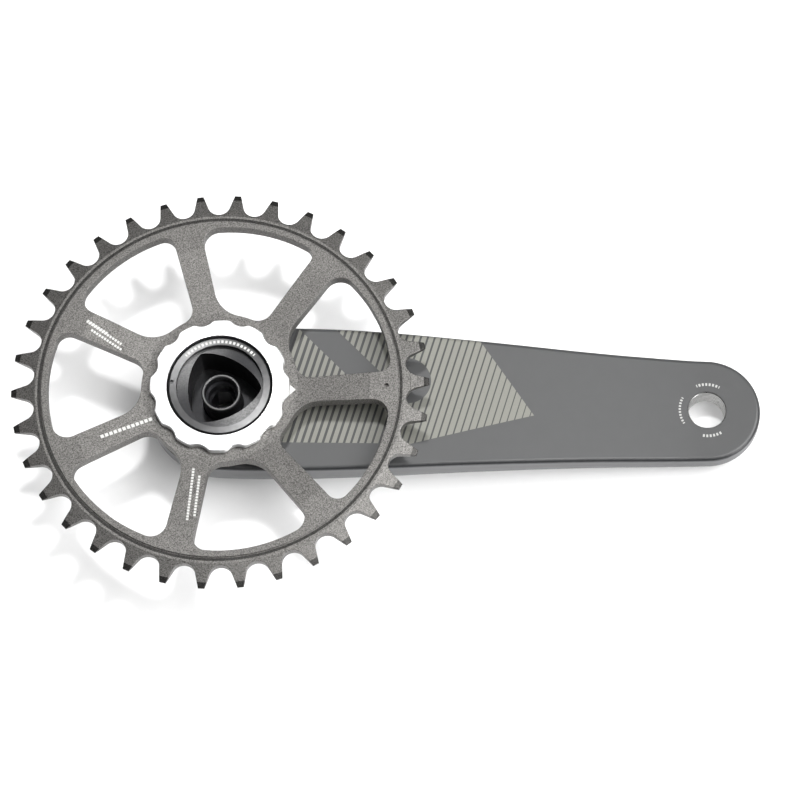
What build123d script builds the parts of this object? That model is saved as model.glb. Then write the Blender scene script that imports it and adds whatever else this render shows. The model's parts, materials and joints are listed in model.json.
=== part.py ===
"""Drive-side bicycle crank: carbon arm, direct-mount chainring, lockring and captive self-extracting bolt.

The spindle axis is Z and +Z points inboard, towards the bicycle's frame.  +X runs along the arm to the
pedal hole.  The origin is on the spindle axis, in the plane of the hub insert's inboard face.
"""
from build123d import *
from math import acos, atan2, cos, hypot, pi, sin
import os

os.makedirs("parts", exist_ok=True)

# ---------------------------------------------------------------- driving dimensions, mm
CRANK_LENGTH = 170.0          # spindle axis to pedal axis

# chainring
TEETH = 34
CHAIN_PITCH = 12.7
ROLLER_SEAT_RADIUS = 4.0
PITCH_RADIUS = CHAIN_PITCH / 2 / sin(pi / TEETH)
TIP_RADIUS = 72.65
TIP_LAND = 2.2
FIRST_TOOTH_ANGLE = 2.22      # degrees from +X to a narrow tooth
TOOTH_MIDDLE = -2.35          # mid plane of the teeth, in the chain line
RIM_LAND_RADIUS = 64.15       # outside this radius the teeth are turned to two cones
LAND_HALF_WIDTH = 1.8         # half thickness of the rim at that radius
CONE_END_RADIUS = 70.65       # where the shallow cone changes to the tip's steeper one
CONE_END_HALF_WIDTH = 0.9
TIP_HALF_WIDTH = 0.35
NARROW_HALF_WIDTH = 0.85      # half thickness of the narrow teeth
NARROW_STEP_RADIUS = 66.05    # where the narrow teeth step down from the rim
NARROW_FACE_RADIUS = 68.4     # the flat of a narrow tooth ends here
NARROW_TIP_HALF_WIDTH = 0.45
RIM_FACE = 0.1                # inboard face of the rim
RIM_FACE_RADIUS = 62.0        # outer edge of that face
GROOVE_RADIUS = 62.85         # outer edge of the groove turned round it
GROOVE_DEPTH = 1.0
RIM_CONE_START = 52.0         # the web is coned between these two radii
HUB_PLATE_RADIUS = 27.0
RING_HUB_FACE = -2.0          # inboard face of the ring beside the lockring
RING_HUB_BACK = -7.1
WINDOWS = 7
WINDOW_INNER_RADIUS = 27.4
INNER_CW = (27.15, 3.5)       # corners of the window beside the +X spoke, before rounding
OUTER_CW = (59.35, 5.75)
OUTER_MIDDLE = (54.7, 24.3)
OUTER_CCW = (40.3, 43.3)
INNER_CCW = (20.75, 17.95)

# hub insert, lockring and spline
HUB_THREAD_RADIUS = 18.45
HUB_CHAMFER = 1.05
SPINDLE_BORE_RADIUS = 15.05
SPLINE_RADIUS = 20.0
SPLINE_KEY_RADIUS = 1.5
SPLINE_KEYS = 12
SPLINE_TOP = -4.1
COUNTERBORE_RADIUS = 21.8     # recess of the ring round the lockring's skirt
SHOULDER_RADIUS = 24.0
SHOULDER_BACK = -9.1
BARREL_RADIUS = 21.0
POLYGON_MEAN_RADIUS = 12.7
POLYGON_LOBE = 1.6
SOCKET_TOP = -2.0
SOCKET_FLOOR = -17.8
WEB_BACK = -21.8
LOCKRING_FACE = 0.6
LOCKRING_BACK = -1.6
LOCKRING_RADIUS = 24.25
LOCKRING_LOBES = 12

# captive bolt, in its resting place against the extractor cap
BOLT_FLOAT = 0.4
RUNNING_GAP = 0.05
BOLT_RIM = -6.7
BOLT_SHANK_RADIUS = 6.9
BOLT_COLLAR_RADIUS = 7.15
BOLT_HEAD_RADIUS = 11.4
BOLT_HEX = 8.0
SEAT_WASHER = 1.2
BOLT_HEAD = 4.3
GLIDE_WASHER = 0.8
EXTRACTOR_CAP = 4.0
HEAD_POCKET_RADIUS = 12.4
CAP_THREAD_RADIUS = 13.05
INSERT_RIM_RADIUS = 14.6

# arm: x, half width, inboard face z, outboard face z, how far the outboard edge is drawn in
ARM_STATIONS = [
    (0.0, 26.5, -11.8, -34.0, 9.5),
    (22.0, 26.7, -11.8, -34.0, 9.6),
    (42.0, 26.2, -11.9, -33.8, 9.6),
    (62.0, 25.1, -12.4, -33.4, 9.5),
    (82.0, 23.7, -13.6, -33.0, 9.2),
    (102.0, 22.35, -15.3, -32.9, 8.7),
    (122.0, 21.0, -17.4, -33.1, 8.1),
    (140.0, 20.0, -19.3, -33.6, 7.4),
    (156.0, 19.3, -20.8, -33.9, 6.8),
    (170.0, 18.75, -21.5, -34.0, 6.4),
]
EDGE_RADIUS = 1.5             # inboard edge of the arm
SIDE_HEIGHT = 3.4             # upright part of the arm's side below that edge
SKIN = 2.4                    # laminate thickness
PARTING_DEPTH = 4.2           # inboard face down to the bond line of the two skins

# pedal insert
PEDAL_THREAD_RADIUS = 6.5     # wall of the 9/16"-20 hole
PEDAL_THREAD_LENGTH = 9.6
PEDAL_NECK_RADIUS = 6.95
PEDAL_BARREL_RADIUS = 11.5
PEDAL_SEAT_RADIUS = 9.8
PEDAL_FACE = -21.5
PEDAL_BACK = -33.8

seat_washer_top = WEB_BACK - BOLT_FLOAT - RUNNING_GAP
bolt_head_top = seat_washer_top - SEAT_WASHER - RUNNING_GAP
bolt_head_back = bolt_head_top - BOLT_HEAD
glide_washer_top = bolt_head_back - RUNNING_GAP
cap_top = glide_washer_top - GLIDE_WASHER
cap_back = cap_top - EXTRACTOR_CAP
pedal_flange = PEDAL_FACE - SKIN - RUNNING_GAP     # the pedal insert widens below the inboard skin
pedal_axis = Axis((CRANK_LENGTH, 0, 0), (0, 0, 1))
radial_plane = Plane.XZ       # local x is the radius, local y is the height


def export(builder, name):
    """Label a finished piece and write it out."""
    builder.part.label = name
    export_step(builder.part, f"parts/{name}.step")


# ---------------------------------------------------------------- chainring
def tooth_outline():
    """Closed outline of all the teeth: a roller seat, two flanks and a tip arc for each tooth."""
    half_pitch = pi / TEETH
    tip_angle = half_pitch - TIP_LAND / 2 / TIP_RADIUS
    tip_x = TIP_RADIUS * cos(tip_angle) - PITCH_RADIUS
    tip_y = TIP_RADIUS * sin(tip_angle)
    tangent = atan2(tip_y, tip_x) + acos(ROLLER_SEAT_RADIUS / hypot(tip_x, tip_y))
    seat_x = PITCH_RADIUS + ROLLER_SEAT_RADIUS * cos(tangent)
    seat_y = ROLLER_SEAT_RADIUS * sin(tangent)
    for tooth in range(TEETH):
        gap = FIRST_TOOTH_ANGLE + 360 * (tooth + 0.5) / TEETH
        before = Vector(seat_x, -seat_y).rotate(Axis.Z, gap)
        bottom = Vector(PITCH_RADIUS - ROLLER_SEAT_RADIUS, 0).rotate(Axis.Z, gap)
        after = Vector(seat_x, seat_y).rotate(Axis.Z, gap)
        tip_before = Vector(PITCH_RADIUS + tip_x, -tip_y).rotate(Axis.Z, gap)
        tip_after = Vector(PITCH_RADIUS + tip_x, tip_y).rotate(Axis.Z, gap)
        tip_middle = Vector(TIP_RADIUS, 0).rotate(Axis.Z, gap + 180 / TEETH)
        next_tip = tip_before.rotate(Axis.Z, 360 / TEETH)
        Line(tip_before, before)
        ThreePointArc(before, bottom, after)
        Line(after, tip_after)
        ThreePointArc(tip_after, tip_middle, next_tip)


with BuildSketch() as window:
    with BuildLine():
        Line(INNER_CW, OUTER_CW)
        ThreePointArc(OUTER_CW, OUTER_MIDDLE, OUTER_CCW)
        Line(OUTER_CCW, INNER_CCW)
        ThreePointArc(INNER_CCW, Vector(WINDOW_INNER_RADIUS, 0).rotate(Axis.Z, 24), INNER_CW)
    make_face()
    for corner, radius in ((INNER_CW, 5.5), (OUTER_CW, 4.2), (OUTER_CCW, 5.5), (INNER_CCW, 11.0)):
        fillet(window.vertices().sort_by_distance((*corner, 0))[0], radius)

tooth_front = TOOTH_MIDDLE + LAND_HALF_WIDTH
tooth_back = TOOTH_MIDDLE - LAND_HALF_WIDTH
with BuildPart() as chainring:
    with BuildSketch(Plane.XY.offset(tooth_back)):
        with BuildLine():
            tooth_outline()
        make_face()
        Circle(RIM_CONE_START, mode=Mode.SUBTRACT)
    extrude(amount=2 * LAND_HALF_WIDTH)
    # both faces of all the teeth are coned from the rim's land towards the tip
    with BuildSketch(radial_plane):
        for side in (1, -1):
            beyond = TIP_RADIUS + 1
            tip_slope = (CONE_END_HALF_WIDTH - TIP_HALF_WIDTH) / (TIP_RADIUS - CONE_END_RADIUS)
            with BuildLine():
                Polyline(
                    (RIM_LAND_RADIUS, TOOTH_MIDDLE + side * LAND_HALF_WIDTH),
                    (CONE_END_RADIUS, TOOTH_MIDDLE + side * CONE_END_HALF_WIDTH),
                    (beyond, TOOTH_MIDDLE + side * (TIP_HALF_WIDTH - tip_slope)),
                    (beyond, TOOTH_MIDDLE + side * (LAND_HALF_WIDTH + 1)),
                    (RIM_LAND_RADIUS, TOOTH_MIDDLE + side * (LAND_HALF_WIDTH + 1)),
                    close=True,
                )
            make_face()
    revolve(axis=Axis.Z, mode=Mode.SUBTRACT)
    # every other tooth is relieved to a flat on both sides, then tapers to its tip
    with BuildPart(mode=Mode.PRIVATE) as relief:
        with BuildSketch(radial_plane):
            for side in (1, -1):
                with BuildLine():
                    Polyline(
                        (NARROW_STEP_RADIUS, TOOTH_MIDDLE + side * NARROW_HALF_WIDTH),
                        (NARROW_FACE_RADIUS, TOOTH_MIDDLE + side * NARROW_HALF_WIDTH),
                        (TIP_RADIUS + 1, TOOTH_MIDDLE + side * NARROW_TIP_HALF_WIDTH),
                        (TIP_RADIUS + 1, TOOTH_MIDDLE + side * (LAND_HALF_WIDTH + 1)),
                        (NARROW_STEP_RADIUS, TOOTH_MIDDLE + side * (LAND_HALF_WIDTH + 1)),
                        close=True,
                    )
                make_face()
        revolve(axis=Axis.Z)
        with BuildSketch(Plane.XY.offset(tooth_back - 2)):
            with PolarLocations(0, TEETH // 2, FIRST_TOOTH_ANGLE):
                half_gap = 180 / TEETH
                before = Vector(TIP_RADIUS + 4, 0).rotate(Axis.Z, -half_gap)
                after = Vector(TIP_RADIUS + 4, 0).rotate(Axis.Z, half_gap)
                with BuildLine():
                    Polyline((0, 0), before, after, close=True)
                make_face()
        extrude(amount=2 * LAND_HALF_WIDTH + 4, mode=Mode.INTERSECT)
    add(relief.part, mode=Mode.SUBTRACT)
    # turned blank, from the spline bore to the roots of the teeth
    with BuildSketch(radial_plane):
        with BuildLine():
            Polyline(
                (SPLINE_RADIUS + RUNNING_GAP, RING_HUB_BACK),
                (SPLINE_RADIUS + RUNNING_GAP, SPLINE_TOP - RUNNING_GAP),
                (COUNTERBORE_RADIUS, SPLINE_TOP - RUNNING_GAP),
                (COUNTERBORE_RADIUS, RING_HUB_FACE),
                (HUB_PLATE_RADIUS, RING_HUB_FACE),
                (RIM_CONE_START, RIM_FACE),
                (RIM_FACE_RADIUS, RIM_FACE),
                (RIM_FACE_RADIUS + 0.3, RIM_FACE - GROOVE_DEPTH),
                (GROOVE_RADIUS - 0.2, RIM_FACE - GROOVE_DEPTH),
                (GROOVE_RADIUS, tooth_front),
                (RIM_LAND_RADIUS, tooth_front),
                (RIM_LAND_RADIUS, tooth_back),
                (RIM_FACE_RADIUS, tooth_back - 0.4),
                (RIM_CONE_START, tooth_back - 0.4),
                (HUB_PLATE_RADIUS + 3.0, RING_HUB_BACK + 0.2),
                (HUB_PLATE_RADIUS, RING_HUB_BACK),
                close=True,
            )
        make_face()
    revolve(axis=Axis.Z)
    # roller seats run through the turned blank
    with BuildSketch(Plane.XY.offset(RING_HUB_BACK)):
        with PolarLocations(PITCH_RADIUS, TEETH, FIRST_TOOTH_ANGLE + 180 / TEETH):
            Circle(ROLLER_SEAT_RADIUS)
    extrude(amount=RIM_FACE - RING_HUB_BACK, mode=Mode.SUBTRACT)
    # windows of the web; the first lies beside the spoke that points along +X
    with BuildSketch(Plane.XY.offset(RING_HUB_BACK - 1)):
        with PolarLocations(0, WINDOWS):
            add(window.sketch)
    extrude(amount=RIM_FACE - RING_HUB_BACK + 2, mode=Mode.SUBTRACT)
    # spline notches and the timing dimple on the spoke over the arm
    with BuildSketch(Plane.XY.offset(RING_HUB_BACK)):
        with PolarLocations(SPLINE_RADIUS, SPLINE_KEYS):
            Circle(SPLINE_KEY_RADIUS + RUNNING_GAP)
    extrude(amount=SPLINE_TOP - RING_HUB_BACK, mode=Mode.SUBTRACT)
    with BuildSketch(Plane.XY.offset(RIM_FACE)):
        with Locations((57.8, 0.5)):
            Circle(0.75)
    extrude(amount=-1.2, mode=Mode.SUBTRACT)
export(chainring, "chainring")


# ---------------------------------------------------------------- lockring
def lobed_outline(radius):
    """Wrench outline of the lockring: a disc with rounded scallops between its lobes."""
    Circle(radius)
    with PolarLocations(radius + 3.6, LOCKRING_LOBES, 180 / LOCKRING_LOBES):
        Circle(5.0, mode=Mode.SUBTRACT)


with BuildPart() as lockring:
    with BuildSketch(Plane.XY.offset(LOCKRING_BACK)) as lobes:
        lobed_outline(LOCKRING_RADIUS)
        fillet(lobes.vertices(), 2.2)
        Circle(HUB_THREAD_RADIUS, mode=Mode.SUBTRACT)
    extrude(amount=LOCKRING_FACE - LOCKRING_BACK)
    top_edges = lockring.faces().sort_by(Axis.Z)[-1].outer_wire().edges()
    chamfer(top_edges, 0.35)
    # shallow groove round the wrench lobes
    with BuildSketch(Plane.XY.offset(-0.95)) as groove:
        lobed_outline(LOCKRING_RADIUS)
        fillet(groove.vertices(), 2.2)
        offset(amount=-0.3, mode=Mode.SUBTRACT)
    extrude(amount=0.4, mode=Mode.SUBTRACT)
    # threaded skirt that reaches into the ring's counterbore
    with BuildSketch(Plane.XY.offset(SPLINE_TOP + 0.1)):
        Circle(SPLINE_RADIUS + 0.9)
        Circle(HUB_THREAD_RADIUS, mode=Mode.SUBTRACT)
    extrude(amount=LOCKRING_BACK - SPLINE_TOP - 0.1)
export(lockring, "lockring")

with BuildPart() as lockring_washer:
    with BuildSketch(Plane.XY.offset(RING_HUB_FACE)):
        Circle(LOCKRING_RADIUS - 1.7)
        Circle(COUNTERBORE_RADIUS, mode=Mode.SUBTRACT)
    extrude(amount=LOCKRING_BACK - RING_HUB_FACE)
export(lockring_washer, "lockring_washer")


# ---------------------------------------------------------------- hub insert
def polygon_points():
    """Points of a three-lobed profile of constant width, with a lobe along +X."""
    points = []
    for step in range(36):
        t = 2 * pi * step / 36
        radius = POLYGON_MEAN_RADIUS + POLYGON_LOBE * cos(3 * t)
        lean = 3 * POLYGON_LOBE * sin(3 * t)
        points.append((radius * cos(t) + lean * sin(t), radius * sin(t) - lean * cos(t)))
    return points


with BuildPart() as hub_insert:
    with BuildSketch(radial_plane):
        with BuildLine():
            Polyline(
                (0, SOCKET_FLOOR + 12),
                (0, PEDAL_BACK),
                (INSERT_RIM_RADIUS, PEDAL_BACK),
                (INSERT_RIM_RADIUS, ARM_STATIONS[0][3] + SKIN),
                (BARREL_RADIUS, ARM_STATIONS[0][3] + SKIN),
                (BARREL_RADIUS, SHOULDER_BACK),
                (SHOULDER_RADIUS, SHOULDER_BACK),
                (SHOULDER_RADIUS, RING_HUB_BACK),
                (SPLINE_RADIUS, RING_HUB_BACK),
                (SPLINE_RADIUS, SPLINE_TOP),
                (HUB_THREAD_RADIUS, SPLINE_TOP),
                (HUB_THREAD_RADIUS, -HUB_CHAMFER),
                (HUB_THREAD_RADIUS - HUB_CHAMFER, 0),
                (0, 0),
                close=True,
            )
        make_face()
    revolve(axis=Axis.Z)
    with BuildSketch(Plane.XY.offset(RING_HUB_BACK)):
        with PolarLocations(SPLINE_RADIUS, SPLINE_KEYS):
            Circle(SPLINE_KEY_RADIUS)
    extrude(amount=SPLINE_TOP - RING_HUB_BACK)
    # round mouth, polygon socket, bolt hole, head pocket and cap thread
    with BuildSketch(radial_plane):
        with BuildLine():
            Polyline(
                (0, 0),
                (SPINDLE_BORE_RADIUS, 0),
                (SPINDLE_BORE_RADIUS, SOCKET_TOP),
                (0, SOCKET_TOP),
                close=True,
            )
        make_face()
        with BuildLine():
            Polyline(
                (0, SOCKET_TOP - 1),
                (BOLT_COLLAR_RADIUS + RUNNING_GAP, SOCKET_TOP - 1),
                (BOLT_COLLAR_RADIUS + RUNNING_GAP, WEB_BACK),
                (HEAD_POCKET_RADIUS, WEB_BACK),
                (HEAD_POCKET_RADIUS, cap_top),
                (CAP_THREAD_RADIUS, cap_top),
                (CAP_THREAD_RADIUS, PEDAL_BACK),
                (0, PEDAL_BACK),
                close=True,
            )
        make_face()
    revolve(axis=Axis.Z, mode=Mode.SUBTRACT)
    with BuildSketch(Plane.XY.offset(SOCKET_FLOOR)):
        with BuildLine():
            Spline(polygon_points(), periodic=True)
        make_face()
    extrude(amount=SOCKET_TOP - SOCKET_FLOOR, mode=Mode.SUBTRACT)
    # witness dimple on the inboard face
    with BuildSketch(Plane.XY):
        with Locations((-16.7, 1.3)):
            Circle(0.7)
    extrude(amount=-0.8, mode=Mode.SUBTRACT)
export(hub_insert, "hub_insert")

# ---------------------------------------------------------------- captive bolt and extractor
with BuildPart() as crank_bolt:
    with BuildSketch(radial_plane):
        with BuildLine():
            Polyline(
                (6.1, BOLT_RIM),
                (BOLT_SHANK_RADIUS - 0.45, BOLT_RIM),
                (BOLT_SHANK_RADIUS, BOLT_RIM - 0.45),
                (BOLT_SHANK_RADIUS, SOCKET_FLOOR + 1.4),
                (BOLT_COLLAR_RADIUS, SOCKET_FLOOR + 1.1),
                (BOLT_COLLAR_RADIUS, bolt_head_top),
                (BOLT_HEAD_RADIUS - 0.3, bolt_head_top),
                (BOLT_HEAD_RADIUS, bolt_head_top - 0.3),
                (BOLT_HEAD_RADIUS, bolt_head_back + 0.6),
                (BOLT_HEAD_RADIUS - 0.6, bolt_head_back),
                (5.2, bolt_head_back),
                (4.0, bolt_head_back + 0.9),
                (4.0, SOCKET_FLOOR + 0.6),
                (4.9, SOCKET_FLOOR + 1.4),
                (4.9, BOLT_RIM - 5.4),
                (5.8, BOLT_RIM - 4.6),
                (5.8, BOLT_RIM - 0.3),
                close=True,
            )
        make_face()
    revolve(axis=Axis.Z)
    with BuildSketch(Plane.XY.offset(bolt_head_back)):
        RegularPolygon(BOLT_HEX / 2, 6, major_radius=False)
    extrude(amount=SOCKET_FLOOR + 0.8 - bolt_head_back, mode=Mode.SUBTRACT)
export(crank_bolt, "crank_bolt")


def washer(bottom, inner_radius, outer_radius, thickness):
    """Plain flat washer standing on the given height."""
    on_base = (Align.CENTER, Align.CENTER, Align.MIN)
    with Locations((0, 0, bottom)):
        Cylinder(outer_radius, thickness, align=on_base)
        Cylinder(inner_radius, thickness, align=on_base, mode=Mode.SUBTRACT)


with BuildPart() as bolt_seat_washer:
    washer(seat_washer_top - SEAT_WASHER, BOLT_COLLAR_RADIUS + RUNNING_GAP, 12.0, SEAT_WASHER)
    rims = bolt_seat_washer.edges().filter_by(GeomType.CIRCLE)
    chamfer(rims.filter_by(lambda rim: rim.radius > 11), 0.2)
export(bolt_seat_washer, "bolt_seat_washer")

with BuildPart() as bolt_glide_washer:
    washer(cap_top, 6.4, HEAD_POCKET_RADIUS, GLIDE_WASHER)
export(bolt_glide_washer, "bolt_glide_washer")

SEAL_RADIUS = 0.75
seal_height = (cap_top + cap_back) / 2
with BuildPart() as extractor_cap:
    washer(cap_back, 5.4, CAP_THREAD_RADIUS, EXTRACTOR_CAP)
    chamfer(extractor_cap.faces().sort_by(Axis.Z)[0].edges(), 0.5)
    with BuildSketch(Plane.XY.offset(cap_back)):
        with PolarLocations(9.3, 4, 45):
            Circle(1.5)
    extrude(amount=2.6, mode=Mode.SUBTRACT)
    # seal groove
    with BuildSketch(radial_plane):
        with Locations((CAP_THREAD_RADIUS, seal_height)):
            Rectangle(4 * SEAL_RADIUS, 2 * SEAL_RADIUS + 0.1)
    revolve(axis=Axis.Z, mode=Mode.SUBTRACT)
export(extractor_cap, "extractor_cap")

with BuildPart() as extractor_seal:
    with BuildSketch(radial_plane):
        with Locations((CAP_THREAD_RADIUS - SEAL_RADIUS, seal_height)):
            Circle(SEAL_RADIUS)
    revolve(axis=Axis.Z)
export(extractor_seal, "extractor_seal")

# ---------------------------------------------------------------- pedal insert
with BuildPart() as pedal_insert:
    seat = PEDAL_FACE - PEDAL_THREAD_LENGTH
    with BuildSketch(Plane(origin=(CRANK_LENGTH, 0, 0), x_dir=(1, 0, 0), z_dir=(0, -1, 0))):
        with BuildLine():
            Polyline(
                (PEDAL_THREAD_RADIUS + 0.3, PEDAL_FACE),
                (PEDAL_NECK_RADIUS, PEDAL_FACE),
                (PEDAL_NECK_RADIUS, pedal_flange),
                (PEDAL_BARREL_RADIUS, pedal_flange),
                (PEDAL_BARREL_RADIUS, PEDAL_BACK),
                (PEDAL_SEAT_RADIUS + 0.3, PEDAL_BACK),
                (PEDAL_SEAT_RADIUS, PEDAL_BACK + 0.3),
                (PEDAL_SEAT_RADIUS, seat),
                (PEDAL_THREAD_RADIUS + 0.7, seat),
                (PEDAL_THREAD_RADIUS, seat + 0.7),
                (PEDAL_THREAD_RADIUS, PEDAL_FACE - 0.3),
                close=True,
            )
        make_face()
    revolve(axis=pedal_axis)
export(pedal_insert, "pedal_insert")


# ---------------------------------------------------------------- arm
def arm_profile(half_width, top, bottom, draw_in, inset, side):
    """Lines of one half of an arm section; side is 1 for +Y and -1 for -Y."""
    edge = EDGE_RADIUS - 0.4 * (inset > 0)
    width = half_width - inset
    upper = top - inset
    lower = bottom + inset
    shoulder = upper - edge - SIDE_HEIGHT
    inner = width - draw_in
    lean = sin(pi / 4)
    Line((0, upper), (side * (width - edge), upper))
    corner = (side * (width - edge * (1 - lean)), upper - edge * (1 - lean))
    ThreePointArc((side * (width - edge), upper), corner, (side * width, upper - edge))
    Line((side * width, upper - edge), (side * width, shoulder))
    belly = (side * (inner + draw_in * lean), lower + (shoulder - lower) * (1 - lean))
    Spline(
        (side * width, shoulder),
        belly,
        (side * inner, lower),
        tangents=[(0, -1), (-side, 0)],
    )
    Line((side * inner, lower), (0, lower))


def arm_solid(inset):
    """Whole arm as one solid, drawn in from the outside by the given inset."""
    with BuildPart() as arm:
        for x, half_width, top, bottom, draw_in in ARM_STATIONS:
            with BuildSketch(Plane(origin=(x, 0, 0), x_dir=(0, 1, 0), z_dir=(1, 0, 0))):
                with BuildLine():
                    arm_profile(half_width, top, bottom, draw_in, inset, 1)
                    arm_profile(half_width, top, bottom, draw_in, inset, -1)
                make_face()
        loft()
        ends = ((ARM_STATIONS[0], 1, Axis.Z), (ARM_STATIONS[-1], -1, pedal_axis))
        for (x, half_width, top, bottom, draw_in), side, axis in ends:
            with BuildSketch(Plane(origin=(x, 0, 0), x_dir=(0, 1, 0), z_dir=(1, 0, 0))):
                with BuildLine():
                    arm_profile(half_width, top, bottom, draw_in, inset, side)
                    Line((0, bottom + inset), (0, top - inset))
                make_face()
            revolve(axis=axis, revolution_arc=180)
    return arm.part


def insert_holes(outboard_hub_radius):
    """Holes for the two bonded inserts; the hub barrel is stepped at the outboard skin."""
    on_base = (Align.CENTER, Align.CENTER, Align.MIN)
    barrel_floor = ARM_STATIONS[0][3] + SKIN
    with Locations((0, 0, barrel_floor)):
        Cylinder(BARREL_RADIUS, -barrel_floor, align=on_base, mode=Mode.SUBTRACT)
    with Locations((0, 0, barrel_floor - 5)):
        Cylinder(outboard_hub_radius, 10, align=on_base, mode=Mode.SUBTRACT)
    with Locations((CRANK_LENGTH, 0, pedal_flange)):
        Cylinder(PEDAL_NECK_RADIUS, -pedal_flange, align=on_base, mode=Mode.SUBTRACT)
    with Locations((CRANK_LENGTH, 0, barrel_floor - 5)):
        Cylinder(PEDAL_BARREL_RADIUS, pedal_flange - barrel_floor + 5, align=on_base, mode=Mode.SUBTRACT)


arm_blank = arm_solid(0)
core_blank = arm_solid(SKIN)

# the bond line of the two skins follows the inboard face at a fixed depth
with BuildPart() as inboard_half:
    with BuildSketch(Plane.XZ):
        with BuildLine():
            bond_line = [(x, top - PARTING_DEPTH) for x, width, top, bottom, draw_in in ARM_STATIONS]
            hub_side = (-40, bond_line[0][1])
            pedal_side = (CRANK_LENGTH + 40, bond_line[-1][1])
            Line(hub_side, bond_line[0])
            Spline(bond_line, tangents=[(1, 0), (1, 0)])
            Line(bond_line[-1], pedal_side)
            Polyline(pedal_side, (CRANK_LENGTH + 40, 0), (-40, 0), hub_side)
        make_face()
    extrude(amount=40, both=True)

with BuildPart() as arm_foam_core:
    add(core_blank)
    insert_holes(BARREL_RADIUS)
export(arm_foam_core, "arm_foam_core")

with BuildPart() as arm_inboard_skin:
    add(arm_blank)
    add(core_blank, mode=Mode.SUBTRACT)
    add(inboard_half.part, mode=Mode.INTERSECT)
    insert_holes(INSERT_RIM_RADIUS)
export(arm_inboard_skin, "arm_inboard_skin")

with BuildPart() as arm_outboard_skin:
    add(arm_blank)
    add(core_blank, mode=Mode.SUBTRACT)
    add(inboard_half.part, mode=Mode.SUBTRACT)
    insert_holes(INSERT_RIM_RADIUS)
export(arm_outboard_skin, "arm_outboard_skin")
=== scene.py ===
"""Looks for the drive-side bicycle crank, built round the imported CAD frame.  Lengths are in metres."""

import json
from math import cos, pi, radians, sin

import bpy
from mathutils import Matrix, Vector


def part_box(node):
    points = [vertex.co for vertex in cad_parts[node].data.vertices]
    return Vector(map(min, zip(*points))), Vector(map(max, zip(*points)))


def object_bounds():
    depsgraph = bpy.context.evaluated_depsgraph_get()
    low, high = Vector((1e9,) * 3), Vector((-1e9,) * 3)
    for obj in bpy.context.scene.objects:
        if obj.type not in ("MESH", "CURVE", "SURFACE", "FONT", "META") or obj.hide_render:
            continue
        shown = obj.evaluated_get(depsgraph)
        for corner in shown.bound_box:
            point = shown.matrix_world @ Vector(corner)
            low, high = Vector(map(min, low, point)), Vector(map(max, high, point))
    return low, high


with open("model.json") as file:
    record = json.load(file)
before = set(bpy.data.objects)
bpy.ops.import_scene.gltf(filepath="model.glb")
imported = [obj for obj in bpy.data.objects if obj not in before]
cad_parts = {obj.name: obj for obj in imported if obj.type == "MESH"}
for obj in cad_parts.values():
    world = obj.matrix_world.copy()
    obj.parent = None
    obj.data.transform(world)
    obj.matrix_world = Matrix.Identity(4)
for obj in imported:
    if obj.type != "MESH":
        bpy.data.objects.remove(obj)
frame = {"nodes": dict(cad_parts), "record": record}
cad_low, cad_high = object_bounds()
mounts = {mount["name"]: mount for mount in frame["record"]["mounts"]}
pedal_axis = Vector(mounts["pedal_thread"]["pos_m"])

MM = 0.001
WHITE = (1.0, 1.0, 1.0)
EDGE_BLUR = 0.06 * MM  # half the width over which a printed edge fades
RIM_BLUR = 0.05 * MM  # half the width over which a turned rim's finish fades
TOP_START = 0.1 * MM  # a turned face's finish starts this far below it
TOP_FULL = 0.03 * MM  # and is complete here
FLAT = 0.95  # least Z of the normal on a flat inboard face
MARK_WHITE = (0.46, 0.46, 0.445)
MARK_GREY = (0.34, 0.34, 0.33)
DASH_GAP = 0.3  # share of a dashed bar that stays bare
TICK_GAP = 0.45  # share of a row of ticks that stays bare

# ---------------------------------------------------------------- chainring
RING_DARK = (0.066, 0.0634, 0.0603)
RING_LIGHT = (0.262, 0.2545, 0.2435)
RING_PATCH = (0.92, 0.92, 0.92)
RING_METALLIC = 0.85
RING_ROUGHNESS = (0.56, 0.48)
# painted shade on the tooth cones and in the groove; the groove's tint also darkens the tooth tips
CONE_PAINTED_SHADE = (0.8, 0.8, 0.8)
CONE_SMOOTHER = 0.14
GROOVE_SHADE = (0.25, 0.25, 0.25)
GROOVE = 62.85 * MM
GROOVE_HALF = 0.5 * MM
TOOTH_FOOT = 64.2 * MM
TOOTH_TIP = 70.7 * MM

# dashed bars on the spokes: centre, angle in degrees, half length, half width, dash
RING_MARKS = (
    ((-40.2 * MM, 17.0 * MM), 147, 6.4 * MM, 0.42 * MM, 0.55 * MM),
    ((-41.1 * MM, 19.6 * MM), 147, 7.4 * MM, 0.42 * MM, 0.55 * MM),
    ((-43.5 * MM, 21.6 * MM), 147, 4.6 * MM, 0.42 * MM, 0.55 * MM),
    ((-31.8 * MM, -15.3 * MM), 23, 9.6 * MM, 0.62 * MM, 0.8 * MM),
    ((-8.7 * MM, -39.4 * MM), 86, 9.6 * MM, 0.42 * MM, 0.55 * MM),
    ((-6.4 * MM, -40.0 * MM), 86, 7.6 * MM, 0.42 * MM, 0.55 * MM),
)

# plain triangle beside the lockring
ARROW_BACK = 23.4 * MM
ARROW_TIP = 26.3 * MM
ARROW_LEVEL = -0.6 * MM
ARROW_SLOPE = 0.9

# ---------------------------------------------------------------- arm
ARM_DARK = (0.044, 0.0448, 0.0455)
ARM_LIGHT = (0.047, 0.0478, 0.0485)
# painted shade on the long edges and a painted reflection of the floor on the side walls
ARM_EDGE_PAINTED_SHADE = (0.006, 0.0065, 0.008)
ARM_SIDE_PAINTED_REFLECTION = (0.085, 0.087, 0.09)
ARM_EDGE_FACING = (0.97, 0.25)  # Z of the normal where the edges start to darken, and the range it takes
ARM_SIDE_FACING = (0.5, 0.3)  # the same for the side walls
ARM_ROUGHNESS = (0.39, 0.42)
STRIPE_DARK = (0.137, 0.137, 0.119)
STRIPE_LIGHT = (0.16, 0.16, 0.14)
GAP_SHADE = (0.6, 0.6, 0.6)

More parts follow.
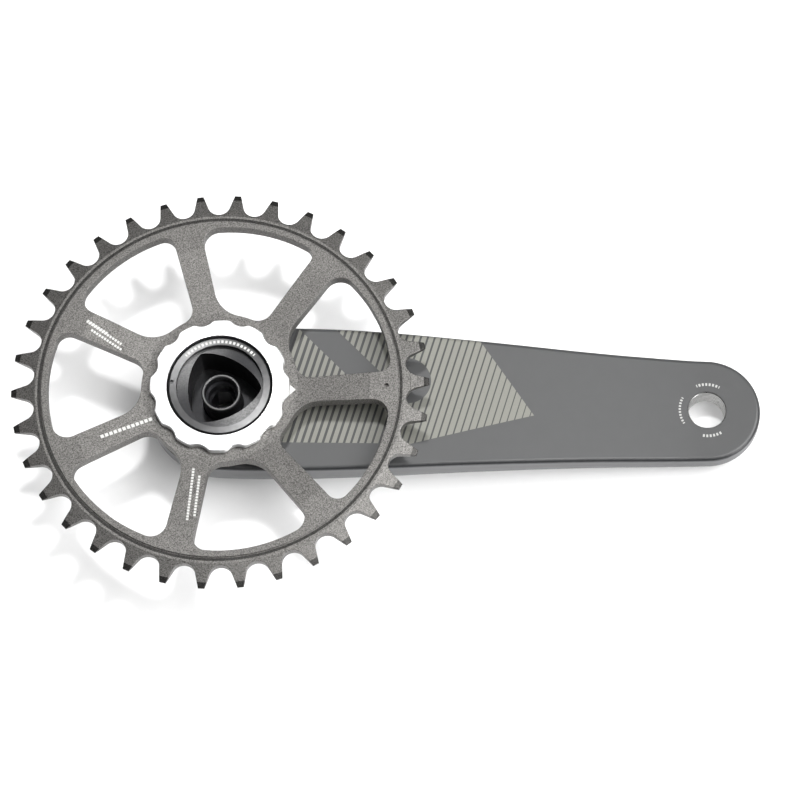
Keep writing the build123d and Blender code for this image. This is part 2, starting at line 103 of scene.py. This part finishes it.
# slanted stripes that fill a plain pennant, with a bare diagonal band and a bare disc in it
STRIPE_PITCH = 2.45 * MM
STRIPE_SLANT = 0.29
STRIPE_THIN = 0.27  # half width at the hub's end, as a share of the pitch
STRIPE_THICK = 0.43  # the same at the pedal's end
STRIPE_BLUR = 0.02
STRIPE_FACING = 0.83  # least Z of the normal where the stripes are printed
PANEL_START = 18 * MM
PANEL_END = 106 * MM
PANEL_END_LEAN = 0.7
PANEL_BOTTOM = 16.5 * MM
PANEL_RISE_START = 66 * MM
PANEL_RISE = 0.28
PANEL_BAND = 58.7 * MM
PANEL_BAND_HALF = 6.5 * MM
PANEL_DISC = (64.5 * MM, 7 * MM)
PANEL_DISC_RADIUS = 8.5 * MM

PEDAL_MARK_FACING = 0.93
# strokes round the pedal hole: radius, half height, from and to angle in degrees, pitch
PEDAL_MARKS = (
    (9.6 * MM, 0.5 * MM, 62, 112, 0.6 * MM),
    (9.6 * MM, 0.4 * MM, 152, 212, 0.55 * MM),
    (9.6 * MM, 0.5 * MM, 258, 302, 0.6 * MM),
)

# ---------------------------------------------------------------- hub, pedal insert and bolt
# the turned face runs from dark grey up to a painted glint, and the socket's ledge has a painted glint too
FACE_DARK = (0.055, 0.055, 0.056)
FACE_GLINT = (0.24, 0.24, 0.242)
FACE_INNER = 15.2 * MM  # radius at which the hub's turned face begins
GLINT_ANGLE = 135  # direction along which turned faces carry a painted glint, in degrees
SOCKET_DARK = (0.01, 0.01, 0.011)
SOCKET_LIGHT = (0.035, 0.035, 0.037)
LEDGE_LEVEL = -2.5 * MM  # the socket's ledge lies above this level, its floor below
LEDGE_GLINT = (0.17, 0.17, 0.17)
HUB_MARKS = (16.3 * MM, 0.5 * MM, 44, 138, 0.7 * MM)
HUB_ROUGHNESS = (0.3, 0.4)
HUB_TURNING = 0.09 * MM  # pitch of the tool marks
PLAIN_TURNING = 0.12 * MM
SMEAR_SHADE = 0.86  # handled metal is this much darker in places
SMEAR_ROUGHNESS = (-0.06, 0.08)  # and smoother or rougher by this

PEDAL_METAL_DARK = (0.5, 0.5, 0.49)
PEDAL_METAL_LIGHT = (0.78, 0.78, 0.77)
PEDAL_SHADE = (0.1, 0.1, 0.1)  # painted shade in the thread's roots and on the rim
PEDAL_ROUGHNESS = (0.26, 0.4)
PEDAL_PITCH = 1.27 * MM
PEDAL_ROOT = (0.03, 0.22)  # the painted shade in the thread's root ends between these heights; its crest is at 0.5
PEDAL_RIM = 6.65 * MM  # radius at which the rim's painted shade begins

BOLT_DARK = (0.012, 0.012, 0.014)
BOLT_LIGHT = (0.05, 0.05, 0.055)
BOLT_RIM_HIGHLIGHT = (0.12, 0.12, 0.12)
BOLT_RIM_START = 0.3 * MM  # the rim's painted highlight starts this far below the bolt's top
BOLT_RIM_FULL = 0.2 * MM
BOLT_ROUGHNESS = (0.28, 0.45)

GRAIN_TINT = 1.5  # a mould's grain is up to this much lighter
GRAIN_ROUGHNESS = 0.1  # and rougher by this

# ---------------------------------------------------------------- floor, surround, lights and camera
FLOOR_REACH = 3.0
PAPER_DARK = (0.59, 0.59, 0.59)
PAPER_LIGHT = (0.61, 0.61, 0.61)
# painted light: the floor glows up to this much, none near the spindle axis
PAINTED_GLOW = 0.3
GLOW_START = 12 * MM
GLOW_FULL = 45 * MM

WORLD_LEVEL = 0.33
# direction, radius of the even part and outer radius in degrees, radiance on top of the level
WORLD_PATCHES = (
    ((0.569, -0.032, 0.93), 18, 24.5, 9.0),
    ((0.8, -0.55, 0.3), 8, 20, 9.0),
    ((-0.05, -0.42, 0.9), 8, 26, -0.3),
)

# name, direction, power in watts, whether it shows in reflections
LIGHTS = (
    ("overhead", (0.0, 0.327, 0.95), 3.3, True),
    ("fill", (0.02, 0.33, 0.95), 15, False),
)
LIGHT_DISTANCE = 1.5
LIGHT_SIZE = 0.14

CAMERA_LENS = 135.8
CAMERA_SENSOR = 36
CAMERA_PLACE = (0.08797, -0.36601, 0.97655)
CAMERA_AHEAD = (-0.0244, 0.3467, -0.9376)
CAMERA_ACROSS = (0.99969, 0.01446, -0.02069)


# ---------------------------------------------------------------- node helpers
class Nodes:
    """Adds nodes to a tree and returns their output sockets."""

    def __init__(self, tree):
        self.tree = tree

    def put(self, value, socket):
        """Feed a socket from another socket, a number or a colour."""
        if isinstance(value, bpy.types.NodeSocket):
            self.tree.links.new(value, socket)
        elif isinstance(value, tuple) and len(socket.default_value) == 4:
            socket.default_value = (*value, 1)
        else:
            socket.default_value = value

    def math(self, operation, *values):
        node = self.tree.nodes.new("ShaderNodeMath")
        node.operation = operation
        for value, socket in zip(values, node.inputs):
            self.put(value, socket)
        return node.outputs[0]

    def spread(self, value, low, high, to_low=0.0, to_high=1.0, kind="LINEAR"):
        """Map a range onto another, held at its ends."""
        node = self.tree.nodes.new("ShaderNodeMapRange")
        node.interpolation_type = kind
        ends = {"Value": value, "From Min": low, "From Max": high, "To Min": to_low, "To Max": to_high}
        for socket, number in ends.items():
            self.put(number, node.inputs[socket])
        return node.outputs["Result"]


class Finish(Nodes):
    """One node material: a Principled surface and the textures that feed it, in object space."""

    def __init__(self, name, **sockets):
        self.material = bpy.data.materials.new(name)
        self.material.use_nodes = True
        super().__init__(self.material.node_tree)
        self.surface = self.tree.nodes["Principled BSDF"]
        for socket, value in sockets.items():
            self.surface.inputs[socket.replace("_", " ")].default_value = value
        self.point = self.tree.nodes.new("ShaderNodeTexCoord").outputs["Object"]

    def use(self, color, roughness=None, normal=None, metallic=None):
        feeds = {"Base Color": color, "Roughness": roughness, "Normal": normal, "Metallic": metallic}
        for socket, value in feeds.items():
            if value is not None:
                self.put(value, self.surface.inputs[socket])
        return self.material

    def noise(self, scale, detail=2.0, rough=0.5):
        node = self.tree.nodes.new("ShaderNodeTexNoise")
        self.put(self.point, node.inputs["Vector"])
        node.inputs["Scale"].default_value = scale
        node.inputs["Detail"].default_value = detail
        node.inputs["Roughness"].default_value = rough
        return node.outputs["Fac"]

    def vary(self, noise, low=0.0, high=1.0, reach=0.2):
        """Stretch a noise, which mostly stays within reach of a half, over a range."""
        return self.spread(noise, 0.5 - reach, 0.5 + reach, low, high)

    def mix(self, amount, first, second, blend="MIX"):
        node = self.tree.nodes.new("ShaderNodeMix")
        node.data_type = "RGBA"
        node.blend_type = blend
        self.put(amount, node.inputs[0])
        self.put(first, node.inputs[6])
        self.put(second, node.inputs[7])
        return node.outputs[2]

    def shade(self, color, mask, tint):
        """Multiply a colour by a tint where a mask is 1."""
        return self.mix(1.0, color, self.mix(mask, WHITE, tint), "MULTIPLY")

    def bump(self, height, strength, distance, edge=0.0):
        """Relief from a height, over edges that look rounded to a radius."""
        node = self.tree.nodes.new("ShaderNodeBump")
        if edge:
            rounded = self.tree.nodes.new("ShaderNodeBevel")
            rounded.samples = 4
            rounded.inputs["Radius"].default_value = edge
            self.put(rounded.outputs[0], node.inputs["Normal"])
        self.put(height, node.inputs["Height"])
        node.inputs["Strength"].default_value = strength
        node.inputs["Distance"].default_value = distance
        return node.outputs[0]

    # places on the object
    def split(self, vector):
        node = self.tree.nodes.new("ShaderNodeSeparateXYZ")
        self.put(vector, node.inputs[0])
        return node.outputs[0], node.outputs[1], node.outputs[2]

    def axes(self):
        """X, Y and Z of the shaded point."""
        return self.split(self.point)

    def away(self, centre):
        """X and Y measured from an axis parallel to Z."""
        x, y, _ = self.axes()
        return self.math("SUBTRACT", x, centre[0]), self.math("SUBTRACT", y, centre[1])

    def radius(self, centre=(0, 0)):
        """Distance from an axis parallel to Z."""
        from_x, from_y = self.away(centre)
        squares = self.math("ADD", self.math("POWER", from_x, 2), self.math("POWER", from_y, 2))
        return self.math("SQRT", squares)

    def weighed(self, *terms):
        """Sum of values, each times its weight."""
        total = 0.0
        for value, weight in terms:
            total = self.math("ADD", total, self.math("MULTIPLY", value, weight))
        return total

    def turned(self, centre, angle):
        """Lengths along and across a direction; angle in degrees from +X."""
        from_x, from_y = self.away(centre)
        turn = radians(angle)
        along = self.weighed((from_x, cos(turn)), (from_y, sin(turn)))
        aside = self.weighed((from_y, cos(turn)), (from_x, -sin(turn)))
        return along, aside

    def facing_up(self, least, fade=0.03):
        """1 on faces that look inboard, 0 on walls and bevels."""
        geometry = self.tree.nodes.new("ShaderNodeNewGeometry")
        return self.spread(self.split(geometry.outputs["Normal"])[2], least - fade, least)

    def top(self, level):
        """1 on a turned face at a level, 0 below it."""
        return self.spread(self.axes()[2], level - TOP_START, level - TOP_FULL)

    def turning(self, pitch):
        """Fine concentric tool marks round the spindle axis, as a height."""
        wobble = self.math("MULTIPLY", self.noise(scale=900, detail=3), 0.3 * pitch)
        turns = self.math("DIVIDE", self.math("ADD", self.radius(), wobble), pitch)
        return self.math("PINGPONG", turns, 0.5)

    # masks of printed marks
    def within(self, half, value, centre=0.0):
        """How far a value lies inside a range round a centre; negative outside."""
        if centre:
            value = self.math("SUBTRACT", value, centre)
        return self.math("SUBTRACT", half, self.math("ABSOLUTE", value))

    def inside(self, *distances):
        """1 where every distance is positive, 0 elsewhere, with a thin soft edge."""
        mask = 1.0
        for distance in distances:
            mask = self.math("MULTIPLY", mask, self.spread(distance, -EDGE_BLUR, EDGE_BLUR))
        return mask

    def either(self, *masks):
        """Union of masks."""
        total = 0.0
        for mask in masks:
            total = self.math("MAXIMUM", total, mask)
        return total

    def bar(self, centre, angle, half_length, half_width, dash):
        """Mask of a straight dashed bar; angle in degrees from +X."""
        along, aside = self.turned(centre, angle)
        return self.inside(
            self.within(half_length, along),
            self.within(half_width, aside),
            self.math("SUBTRACT", self.math("PINGPONG", along, dash), DASH_GAP * dash),
        )

    def ticks(self, centre, radius, half_height, start, end, pitch):
        """Mask of short radial strokes set along an arc; angles in degrees."""
        # measured from the middle of the arc, so the seam of the arctangent lies opposite to it
        along, aside = self.turned(centre, (start + end) / 2)
        arc = self.math("MULTIPLY", self.math("ARCTAN2", aside, along), radius)
        half_arc = radians((end - start) / 2) * radius
        return self.inside(
            self.within(half_arc, arc),
            self.within(half_height, self.radius(centre), radius),
            self.math("SUBTRACT", self.math("PINGPONG", arc, pitch), TICK_GAP * pitch),
        )


# ---------------------------------------------------------------- materials
def blasted_anodised():
    """Bead-blasted, warm dark grey anodised aluminium of the chainring, with plain pad-printed marks."""
    finish = Finish("blasted_anodised")
    grain = finish.noise(scale=2300, detail=3, rough=0.65)
    grey = finish.mix(finish.vary(grain, reach=0.17), RING_DARK, RING_LIGHT)
    patchy = finish.mix(finish.vary(finish.noise(scale=60), reach=0.15), RING_PATCH, WHITE)
    color = finish.mix(1.0, grey, patchy, "MULTIPLY")
    # painted shade: the tooth cones are painted darker than the blasted web, and the groove darker still; the
    # tips are painted as dark as the groove
    radius = finish.radius()
    groove = finish.inside(finish.within(GROOVE_HALF, radius, GROOVE))
    cone = finish.spread(radius, TOOTH_FOOT - EDGE_BLUR, TOOTH_FOOT + EDGE_BLUR)
    tip = finish.spread(radius, TOOTH_TIP - EDGE_BLUR, TOOTH_TIP + EDGE_BLUR)
    color = finish.shade(color, cone, CONE_PAINTED_SHADE)
    color = finish.shade(color, finish.math("MAXIMUM", groove, tip), GROOVE_SHADE)
    marks = finish.either(*(finish.bar(*mark) for mark in RING_MARKS), ring_arrow(finish))
    marks = finish.math("MULTIPLY", marks, finish.facing_up(FLAT))
    color = finish.mix(marks, color, MARK_WHITE)
    smoother = finish.math("MULTIPLY", cone, CONE_SMOOTHER)
    roughness = finish.math("SUBTRACT", finish.vary(grain, *RING_ROUGHNESS), smoother)
    relief = finish.bump(grain, strength=0.4, distance=0.04 * MM, edge=0.4 * MM)
    return finish.use(color, roughness, relief, finish.spread(marks, 0, 1, RING_METALLIC, 0))


def ring_arrow(finish):
    """Mask of the plain triangle beside the lockring, which points at the pedal."""
    x, y, _ = finish.axes()
    half_height = finish.math("MULTIPLY", finish.math("SUBTRACT", ARROW_TIP, x), ARROW_SLOPE)
    return finish.inside(
        finish.math("SUBTRACT", x, ARROW_BACK),
        finish.within(half_height, y, ARROW_LEVEL),
    )


def carbon_satin():
    """Satin dark grey arm with a striped panel and small plain marks under the clear coat."""
    finish = Finish("carbon_satin")
    mottle = finish.noise(scale=220, detail=4, rough=0.6)
    fine = finish.noise(scale=4200)
    paint = finish.mix(finish.vary(mottle), ARM_DARK, ARM_LIGHT)
    # painted shade darkens the long edges, and a painted reflection of the floor lightens the side walls
    paint = finish.mix(finish.facing_up(*ARM_EDGE_FACING), ARM_EDGE_PAINTED_SHADE, paint)
    paint = finish.mix(finish.facing_up(*ARM_SIDE_FACING), ARM_SIDE_PAINTED_REFLECTION, paint)
    stripes, panel = striped_panel(finish)
    paint = finish.shade(paint, panel, GAP_SHADE)
    ink = finish.mix(finish.vary(fine), STRIPE_DARK, STRIPE_LIGHT)
    color = finish.mix(finish.math("MULTIPLY", stripes, finish.facing_up(STRIPE_FACING)), paint, ink)
    marks = finish.either(*(finish.ticks(pedal_axis.xy, *arc) for arc in PEDAL_MARKS))
    marks = finish.math("MULTIPLY", marks, finish.facing_up(PEDAL_MARK_FACING))
    color = finish.mix(marks, color, MARK_GREY)
    relief = finish.bump(fine, strength=0.06, distance=0.03 * MM)
    return finish.use(color, finish.vary(mottle, *ARM_ROUGHNESS), relief)


def striped_panel(finish):
    """Masks of the stripes and of the plain pennant that they fill, less a diagonal band and a disc."""
    x, y, _ = finish.axes()
    # slanted coordinate that is constant along a stripe; stripes widen towards the pedal
    slant = finish.weighed((x, 1), (y, -STRIPE_SLANT))
    ridge = finish.math("PINGPONG", finish.math("DIVIDE", slant, STRIPE_PITCH), 0.5)
    share = finish.spread(slant, PANEL_START, PANEL_END, STRIPE_THIN, STRIPE_THICK)
    stripes = finish.spread(finish.math("SUBTRACT", share, ridge), -STRIPE_BLUR, STRIPE_BLUR)
    end = finish.weighed((x, 1), (y, PANEL_END_LEAN))
    past_start = finish.math("MAXIMUM", finish.math("SUBTRACT", x, PANEL_RISE_START), 0)
    rise = finish.math("MULTIPLY", past_start, PANEL_RISE)
    # the band crosses the upper half of the arm only
    band = finish.within(PANEL_BAND_HALF, finish.math("ADD", x, y), PANEL_BAND)
    below = finish.math("MULTIPLY", finish.math("LESS_THAN", y, 0), 2 * PANEL_BAND_HALF)
    panel = finish.inside(
        finish.math("SUBTRACT", slant, PANEL_START),
        finish.math("SUBTRACT", PANEL_END, end),
        finish.math("SUBTRACT", finish.math("ADD", y, PANEL_BOTTOM), rise),
        finish.math("SUBTRACT", below, band),
        finish.math("SUBTRACT", finish.radius(PANEL_DISC), PANEL_DISC_RADIUS),
    )
    return finish.math("MULTIPLY", stripes, panel), panel


def black_anodised():
    """Black anodised hub insert: turned face with a painted glint and ticks, dark edges, machined socket
    walls, a painted glint on the ledge.
    """
    finish = Finish("black_anodised", Metallic=0.8)
    radius = finish.radius()
    past_bore = finish.spread(radius, FACE_INNER - RIM_BLUR, FACE_INNER + RIM_BLUR)
    face = finish.math("MULTIPLY", finish.top(0.0), past_bore)
    smear = finish.noise(scale=700, detail=3)
    # painted glint: turned faces are painted lighter along the diameters that face the light
    along, _ = finish.turned((0, 0), GLINT_ANGLE)
    glint = finish.math("POWER", finish.math("ABSOLUTE", finish.math("DIVIDE", along, radius)), 3)
    above_floor = finish.spread(finish.axes()[2], LEDGE_LEVEL - 0.5 * MM, LEDGE_LEVEL)
    ledge = finish.math("MULTIPLY", finish.facing_up(FLAT), above_floor)
    # painted glint on the socket's ledge, along the same diameters
    ledge_glint = finish.math("MULTIPLY", glint, finish.vary(finish.noise(scale=1500, detail=3), low=0.5))
    dark = finish.mix(smear, SOCKET_DARK, SOCKET_LIGHT)
    dark = finish.mix(finish.math("MULTIPLY", ledge, ledge_glint), dark, LEDGE_GLINT)
    satin = finish.mix(glint, FACE_DARK, FACE_GLINT)
    marked = finish.mix(finish.ticks((0, 0), *HUB_MARKS), satin, MARK_WHITE)
    relief = finish.bump(finish.turning(HUB_TURNING), strength=0.15, distance=0.02 * MM, edge=0.15 * MM)
    return finish.use(finish.mix(face, dark, marked), finish.vary(smear, *HUB_ROUGHNESS), relief)


def machined_metal(name, color, roughness, metallic=1.0):
    """Bare or clear-anodised metal with concentric tool marks and faint handling smears."""
    finish = Finish(name, Metallic=metallic)
    smear = finish.noise(scale=260, detail=4)
    darker = tuple(SMEAR_SHADE * part for part in color)
    tint = finish.mix(finish.vary(smear), darker, color)
    smears = (roughness + change for change in SMEAR_ROUGHNESS)
    relief = finish.bump(finish.turning(PLAIN_TURNING), strength=0.12, distance=0.02 * MM, edge=0.2 * MM)
    return finish.use(tint, finish.vary(smear, *smears), relief)


def threaded_aluminium():
    """Bare aluminium whose bore shows a thread in relief, with painted shade in the thread's roots and on the
    rim.
    """
    finish = Finish("bare_aluminium", Metallic=1.0)
    from_x, y = finish.away((pedal_axis.x, 0))
    turn = finish.math("DIVIDE", finish.math("ARCTAN2", y, from_x), 2 * pi)
    height = finish.math("DIVIDE", finish.axes()[2], PEDAL_PITCH)
    crest = finish.math("PINGPONG", finish.math("ADD", height, turn), 0.5)
    smear = finish.noise(scale=700, detail=4)
    metal = finish.mix(finish.vary(smear), PEDAL_METAL_DARK, PEDAL_METAL_LIGHT)
    # painted shade in the thread's roots
    metal = finish.mix(finish.spread(crest, *PEDAL_ROOT), PEDAL_SHADE, metal)
    # painted shade on the rim's top face
    outer = finish.spread(finish.radius(pedal_axis.xy), PEDAL_RIM - RIM_BLUR, PEDAL_RIM + RIM_BLUR)
    color = finish.mix(finish.math("MULTIPLY", finish.top(pedal_axis.z), outer), metal, PEDAL_SHADE)
    relief = finish.bump(crest, strength=0.6, distance=0.4 * MM)
    return finish.use(color, finish.vary(smear, *PEDAL_ROUGHNESS), relief)


def black_oxide():
    """Dark bolt whose inboard rim carries a painted highlight."""
    finish = Finish("black_oxide", Metallic=0.7)
    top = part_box("crank_bolt")[1].z
    # painted highlight on the bolt's inboard rim
    bright = finish.spread(finish.axes()[2], top - BOLT_RIM_START, top - BOLT_RIM_FULL)
    smear = finish.noise(scale=900, detail=3)
    color = finish.mix(bright, finish.mix(smear, BOLT_DARK, BOLT_LIGHT), BOLT_RIM_HIGHLIGHT)
    relief = finish.bump(smear, strength=0.1, distance=0.03 * MM)
    return finish.use(color, finish.vary(smear, *BOLT_ROUGHNESS), relief)


def plain_mould(name, color, roughness):
    """Moulded plastic, foam or rubber with a fine matt grain."""
    finish = Finish(name)
    grain = finish.noise(scale=3000, detail=3)
    lighter = tuple(min(1.0, GRAIN_TINT * part) for part in color)
    tint = finish.mix(finish.vary(grain), color, lighter)
    relief = finish.bump(grain, strength=0.2, distance=0.03 * MM)
    return finish.use(tint, finish.vary(grain, roughness, roughness + GRAIN_ROUGHNESS), relief)


finishes = {
    "blasted_anodised": blasted_anodised(),
    "carbon_satin": carbon_satin(),
    "black_anodised": black_anodised(),
    "bare_aluminium": threaded_aluminium(),
    "silver_anodised": machined_metal("silver_anodised", (0.88, 0.88, 0.88), 0.36),
    "steel": machined_metal("steel", (0.55, 0.55, 0.55), 0.3),
    "black_steel": black_oxide(),
    "acetal": plain_mould("acetal", (0.02, 0.02, 0.02), 0.45),
    "cap_anodised": machined_metal("cap_anodised", (0.05, 0.05, 0.052), 0.34, metallic=0.8),
    "seal_rubber": plain_mould("seal_rubber", (0.015, 0.015, 0.015), 0.6),
    "foam": plain_mould("foam", (0.6, 0.58, 0.5), 0.85),
}
for subpart in frame["record"]["subparts"]:
    coats = frame["nodes"][subpart["node"]].data.materials
    coats.clear()
    coats.append(finishes[subpart["material_slot"]])


# ---------------------------------------------------------------- stage, light and camera
def add_object(name, data):
    thing = bpy.data.objects.new(name, data)
    bpy.context.scene.collection.objects.link(thing)
    return thing


def add_stage():
    """Plain pale floor under the object."""
    corners = [(x * FLOOR_REACH, y * FLOOR_REACH, cad_low.z) for x, y in ((-1, -1), (1, -1), (1, 1), (-1, 1))]
    mesh = bpy.data.meshes.new("floor")
    mesh.from_pydata(corners, [], [(0, 1, 2, 3)])
    floor = add_object("floor", mesh)
    # the floor glows as painted light, so shadows on it stay light; the glow fades out towards the hub, which
    # leaves painted contact shade there
    finish = Finish("floor_paper", Roughness=0.9, Emission_Color=(1, 1, 1, 1))
    glow = finish.spread(finish.radius(), GLOW_START, GLOW_FULL, 0.0, PAINTED_GLOW)
    finish.put(glow, finish.surface.inputs["Emission Strength"])
    mesh.materials.append(finish.use(finish.mix(finish.noise(scale=300), PAPER_DARK, PAPER_LIGHT)))


def add_light(name, direction, power, glossy):
    """Square soft light that looks at the ring's centre from a direction."""
    light = bpy.data.lights.new(name, "AREA")
    light.size = LIGHT_SIZE
    light.energy = power
    lamp = add_object(name, light)
    lamp.visible_glossy = glossy
    lamp.location = Vector(direction).normalized() * LIGHT_DISTANCE
    lamp.rotation_mode = "QUATERNION"
    lamp.rotation_quaternion = Vector(direction).to_track_quat("Z", "Y")


def add_world():
    """Studio surround: even walls, a bright panel overhead to the right, a low one, and a dark patch."""
    world = bpy.data.worlds.new("studio")
    world.use_nodes = True
    bpy.context.scene.world = world
    nodes = Nodes(world.node_tree)
    heading = nodes.tree.nodes.new("ShaderNodeTexCoord").outputs["Generated"]
    total = WORLD_LEVEL
    for toward, inner, outer, level in WORLD_PATCHES:
        dot = nodes.tree.nodes.new("ShaderNodeVectorMath")
        dot.operation = "DOT_PRODUCT"
        nodes.put(heading, dot.inputs[0])
        nodes.put(Vector(toward).normalized(), dot.inputs[1])
        edge, core = cos(radians(outer)), cos(radians(inner))
        patch = nodes.spread(dot.outputs["Value"], edge, core, 0, level, kind="SMOOTHSTEP")
        total = nodes.math("ADD", patch, total)
    background = nodes.tree.nodes["Background"]
    background.inputs["Color"].default_value = (1, 1, 1, 1)
    nodes.put(total, background.inputs["Strength"])


def add_camera():
    """Camera at the photograph's viewing angle, some 20 degrees off the spindle axis."""
    camera = bpy.data.cameras.new("camera")
    camera.lens = CAMERA_LENS
    camera.sensor_width = CAMERA_SENSOR
    camera.clip_start = 0.05
    camera.clip_end = 50
    eye = add_object("camera", camera)
    eye.location = CAMERA_PLACE
    ahead = Vector(CAMERA_AHEAD).normalized()
    across = Vector(CAMERA_ACROSS).normalized()
    up = across.cross(ahead)
    eye.rotation_mode = "QUATERNION"
    eye.rotation_quaternion = Matrix((across, up, -ahead)).transposed().to_quaternion()
    bpy.context.scene.camera = eye


add_stage()
add_world()
for light_data in LIGHTS:
    add_light(*light_data)
add_camera()
bpy.context.scene.view_settings.view_transform = "Standard"
